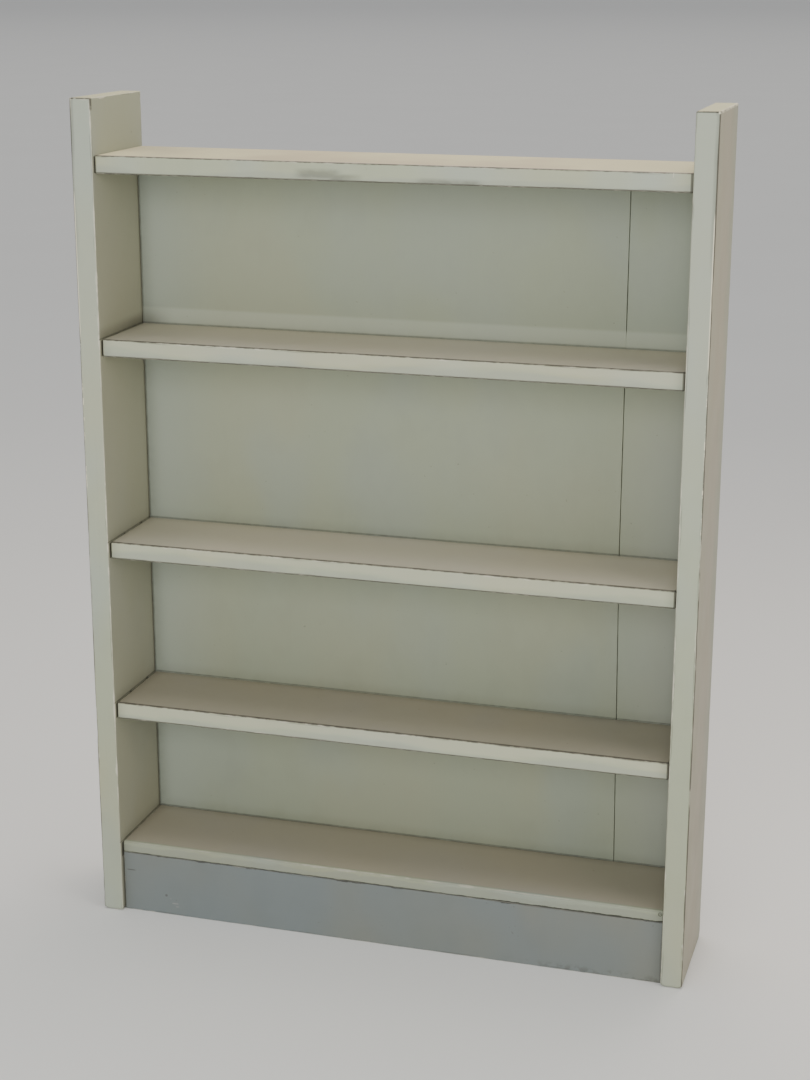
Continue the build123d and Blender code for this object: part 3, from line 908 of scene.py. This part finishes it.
def bottom_shelf_paint():
    """The bottom shelf: dusty top, a bright nose with a handled edge, painted shade that darkens its front,
    and a nail hole at the right.
    """
    p = Paint("bottom_shelf_paint", (CREAM, CREAM_WARM, CREAM_COOL), X, 6)
    nose = p.past(Y, front_y + 8 * MM, front_y + 5 * MM)
    p.lay(p.all_of(p.facing(Z, 1), p.math("SUBTRACT", 1.0, nose)), DUST_SHADED_LOW, 0.7)
    fray = p.ramp(p.noise((20.0, 20.0, 60.0), detail=4.0, seed=67), 0.3, 0.7, -0.16, 0.16)
    low_half = p.ramp(p.math("ADD", p.share()[Z], fray), 0.66, 0.76, 1.0, 0.0)
    p.lay(p.all_of(p.facing(Y, -1), low_half), HANDLED, 0.6)
    p.rub_arrises(dirt=0.2)
    # Painted shade: the front of the bottom shelf darkened.
    p.shade(p.ramp(nose, 0.0, 1.0, 1.0, 0.71))
    p.soil_and_shade_joints(SIDE_PLANES, hard=0.5)
    p.soil_and_shade_joints([(Y, back_front, 0)], width=3.0 * MM)
    thin = p.ramp(p.ragged, 0.3, 0.7, 0.8 * MM, 1.6 * MM)
    flakes = p.math("MULTIPLY", thin, p.past(X, 0.05, 0.20, 1.0, 1.7))
    up = p.math("DIVIDE", p.math("SUBTRACT", p.split.outputs[Z], plinth_top), flakes)
    p.lay(p.all_of(p.ramp(up, 0.8, 1.0, 1.0, 0.0), p.near(Y, front_y, 8 * MM)), JOINT_DARK)
    away = p.away_from(X, inner_x - NAIL_INSET, Z, shelf_top["bottom_shelf"] - NAIL_INSET)
    ring = p.all_of(p.ramp(away, 1.2 * MM, 1.5 * MM), p.ramp(away, 2.4 * MM, 2.8 * MM, 1.0, 0.0))
    dot = p.ramp(away, 0.6 * MM, 1.0 * MM, 1.0, 0.0)
    p.lay(p.all_of(p.any_of(ring, dot), p.near(Y, front_y, 6 * MM)), JOINT_DARK, 0.95)
    return p.finish()


def top_shelf_paint():
    """The top shelf is paler above, with two old smudges and a pale nick on its front edge."""
    p = shelf_paint("top_shelf_paint", False)
    high = shelf_top["top_shelf"]
    upper_face = p.all_of(p.facing(Z, 1), p.past(Y, front_y + 6 * MM, front_y + 9 * MM))
    p.lay(upper_face, TOP_DUST, 0.75)
    ends = p.any_of(p.past(X, -0.18, -0.34), p.past(X, 0.26, 0.34))
    p.lay(p.all_of(upper_face, ends), TOP_OLIVE, 0.7)
    bright = p.ramp(p.noise((5.0, 5.0, 5.0), detail=2.0, seed=91), 0.44, 0.58)
    p.lay(p.all_of(upper_face, bright), TOP_BRIGHT, 0.6)
    smoky = p.ramp(p.noise((45.0, 45.0, 90.0), detail=3.0, seed=5), 0.3, 0.6, 0.45, 1.0)
    front = p.near(Y, front_y, 2.5 * MM)
    smudges = [
        p.all_of(
            p.within(X, left * MM, right * MM, soft * MM),
            p.within(Z, high + low * MM, high + top * MM, 0.3 * soft * MM),
        )
        for left, right, low, top, soft in SMUDGES
    ]
    p.lay(p.all_of(p.any_of(*smudges), front, smoky), SMOKE, 0.52)
    nick = p.all_of(p.near(X, inner_x - NICK_INSET, 0.8 * MM), p.past(Z, high - 6 * MM, high - 4 * MM))
    p.lay(p.all_of(nick, front), WORN, 0.9)
    return p.finish()


def back_paint():
    """Back sheets: smoother, painted shade darker towards the floor and in the joints, a dirty seam, painted
    shade in a corner, and a pale band where a shelf once stood.
    """
    p = Paint("back_paint", (BACK_GREEN, BACK_WARM, BACK_PATCH), Z, 3, brushing=0.008)
    height = p.split.outputs[Z]
    inside = p.facing(Y, -1)
    # Painted shade: the back darker towards the floor.
    p.shade(p.ramp(height, 0.05, 0.85, 0.86, 0.96))
    p.lay(p.near(X, -inner_x, 110 * MM), BACK_COOL, 0.8)
    p.lay(p.all_of(p.past(X, 0.24, 0.34), p.past(Z, 0.74, 0.60)), BACK_GREY, 0.6)
    p.soil_and_shade_joints([(Z, top, 1) for top in ALL_SHELVES] + SIDE_PLANES, inside, hard=0.62)
    band_low = shelf_top["shelf_upper"]
    band = p.within(Z, band_low + MM, band_low + GHOST_BAND, 2.5 * MM)
    lean = p.math("DIVIDE", p.math("SUBTRACT", SEAM_KINK, height), SEAM_KINK - back_low)
    lean = p.math("MAXIMUM", lean, 0.0)
    seam = p.math("ADD", seam_top, p.math("MULTIPLY", lean, seam_foot - seam_top))
    away = p.math("ABSOLUTE", p.math("SUBTRACT", p.split.outputs[X], seam))
    width = p.ramp(p.noise((40.0, 40.0, 60.0), detail=4.0, seed=73), 0.3, 0.7, 0.5 * MM, 1.4 * MM)
    dirt = p.ramp(p.math("DIVIDE", away, width), 0.5, 1.0, 1.0, 0.0)
    p.lay(p.all_of(dirt, inside, p.math("SUBTRACT", 1.0, band)), GRIME_AND_SHADE, 0.32)
    p.lay(p.all_of(band, inside), BAND_PALE, 0.32)
    # Painted shade in the left corner above the upper shelf.
    corner = p.all_of(
        inside, p.past(X, 45 * MM - inner_x, 5 * MM - inner_x), p.past(Z, band_low - MM, band_low),
        p.past(Z, band_low + 30 * MM, band_low),
    )
    p.lay(corner, GRIME_AND_SHADE, 0.5)
    return p.finish()


def plinth_paint():
    """Plinth: grey-blue, with a dirty joint under the nose, a dark knock, scratches and kick marks."""
    p = Paint("plinth_paint", (PLINTH_BLUE, PLINTH_WARM, PLINTH_COOL), X, 4, brushing=0.012)
    p.rub_arrises(reach=0.5, amount=0.5)
    front = p.facing(Y, -1)
    p.soil_and_shade_joints(SIDE_PLANES, front, soft=0.12, width=1.8 * MM)
    flakes = p.noise((22.0, 22.0, 22.0), detail=5.0, rough=0.7, seed=77)
    depth = p.ramp(flakes, 0.52, 0.80, 0.9 * MM, 3.5 * MM)
    down = p.math("DIVIDE", p.math("SUBTRACT", plinth_top, p.split.outputs[Z]), depth)
    p.lay(p.all_of(p.ramp(down, 0.7, 1.0, 1.0, 0.0), front), JOINT_DARK, 0.9)
    away = p.away_from(X, KNOCK_X, Z, KNOCK_Z)
    p.lay(p.all_of(p.ramp(away, 1.2 * MM, 2.2 * MM, 1.0, 0.0), front), GRIME_AND_SHADE, 0.6)
    for left, height, length in SCRATCHES:
        stroke = p.all_of(
            p.within(X, left * MM, (left + length) * MM, MM), p.near(Z, height * MM, 1.2 * MM, 0, 0.4 * MM)
        )
        p.lay(p.all_of(stroke, front, p.ramp(p.ragged, 0.40, 0.55)), SCRATCH_GREY, 0.45)
    left, height, length = DARK_SCRATCH
    scored = p.all_of(
        p.within(X, left * MM, (left + length) * MM, 2 * MM), p.near(Z, height * MM, 1.0 * MM, 0, 0.3 * MM)
    )
    p.lay(p.all_of(scored, front), GRIME_AND_SHADE, 0.7)
    kicked = p.all_of(p.within(Z, 0.0, 7 * MM, 4 * MM), p.past(X, 0.12, 0.26), p.ramp(p.ragged, 0.45, 0.6))
    p.lay(p.all_of(kicked, front), GRIME_AND_SHADE, 0.4)
    return p.finish()


def build():
    """All pieces of the case."""
    make_camera()
    sides = side_paint()
    shelves = shelf_paint("shelf_paint", True).finish()
    back = back_paint()
    for side_name, hand in SIDES.items():
        make_side(side_name, hand, sides)
    make_shelf("top_shelf", "case", top_shelf_paint(), 11.0)
    make_shelf("bottom_shelf", "case", bottom_shelf_paint(), 12.0, warp=round_nose)
    for index, node in enumerate(LOOSE_SHELVES):
        make_shelf(node, node, shelves, 21.0 + index)
    plinth = make_board("plinth_face", "plinth_board", X, 1.0, 1.2, 6 * MM, 31.0)
    stand_for(plinth, "plinth_board", "case", plinth_paint())
    for node, warp, seed in (("back_panel_wide", lean_wide, 41.0), ("back_panel_narrow", lean_narrow, 43.0)):
        sheet = make_board(node + "_sheet", node, Z, 0.25, 0.1, 12 * MM, seed, warp=warp)
        stand_for(sheet, node, "case", back)
    bare = {
        "pin": steel("pin_steel", (0.56, 0.55, 0.52), (0.22, 0.11, 0.05), 0.02, 51),
        "nails": steel("nail_steel", (0.42, 0.40, 0.38), (0.20, 0.09, 0.04), 0.10, 53),
        "dowels": bare_wood("dowel_beech", (0.62, 0.45, 0.27), (0.45, 0.30, 0.16), X, 55),
        "glue_block": bare_wood("block_pine", (0.66, 0.50, 0.32), (0.50, 0.33, 0.17), X, 57),
    }
    for node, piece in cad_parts.items():
        for key, material in bare.items():
            if key in node:
                set_material(piece, material)


build()
make_floor()
make_lights()
